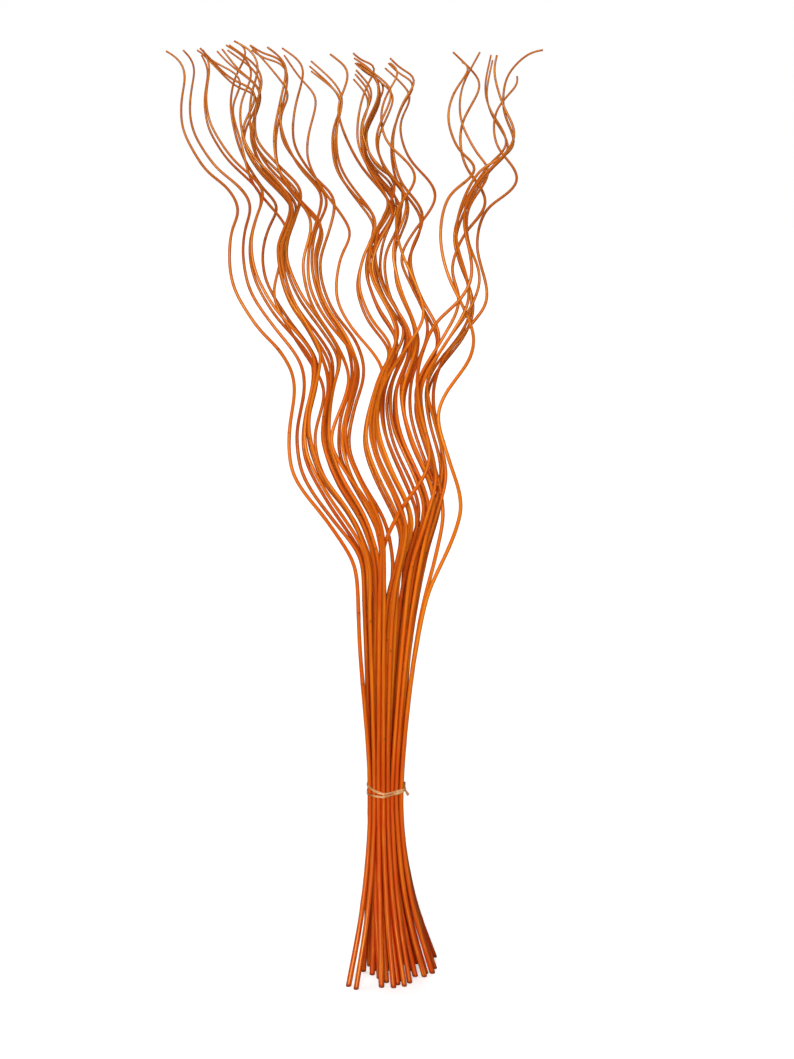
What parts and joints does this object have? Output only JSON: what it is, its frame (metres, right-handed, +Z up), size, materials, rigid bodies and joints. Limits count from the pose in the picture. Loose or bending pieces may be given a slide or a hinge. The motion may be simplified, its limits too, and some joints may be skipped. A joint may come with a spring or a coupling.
{
  "type": "curly willow branch bundle",
  "caption": "Tall bundle of dyed curly willow sticks, standing on its splayed cut feet, bound low with twine and curling outward above.",
  "frame": {"origin": "on the floor, under the middle of the bundle's bounding box", "axes": "+Z up along the standing bundle, +Y away from the viewer through the bundle's shallow depth, +X to the viewer's right"},
  "size_m": [0.4184, 0.3214, 1.1406],
  "materials": {
    "stem": "dyed orange, satin",
    "twine": "natural raffia"
  },
  "bodies": {
    "root": {"back_stick_01": "stem", "back_stick_02": "stem", "back_stick_03": "stem", "back_stick_04": "stem", "back_stick_05": "stem", "back_stick_06": "stem", "back_stick_07": "stem", "back_stick_08": "stem", "back_stick_09": "stem", "back_stick_10": "stem", "centre_stick_01": "stem", "centre_stick_02": "stem", "centre_stick_03": "stem", "centre_stick_04": "stem", "centre_stick_05": "stem", "centre_stick_06": "stem", "centre_stick_07": "stem", "centre_stick_08": "stem", "centre_stick_09": "stem", "centre_stick_10": "stem", "centre_stick_11": "stem", "centre_stick_12": "stem", "centre_stick_13": "stem", "left_stick_01": "stem", "left_stick_02": "stem", "left_stick_03": "stem", "left_stick_04": "stem", "left_stick_05": "stem", "left_stick_06": "stem", "left_stick_07": "stem", "left_stick_08": "stem", "left_stick_09": "stem", "left_stick_10": "stem", "left_stick_11": "stem", "left_stick_12": "stem", "left_stick_13": "stem", "left_stick_14": "stem", "left_stick_15": "stem", "left_stick_16": "stem", "right_stick_01": "stem", "right_stick_02": "stem", "right_stick_03": "stem", "right_stick_04": "stem", "right_stick_05": "stem", "right_stick_06": "stem", "right_stick_07": "stem", "twine_wrap": "twine"}
  },
  "joints": []
}
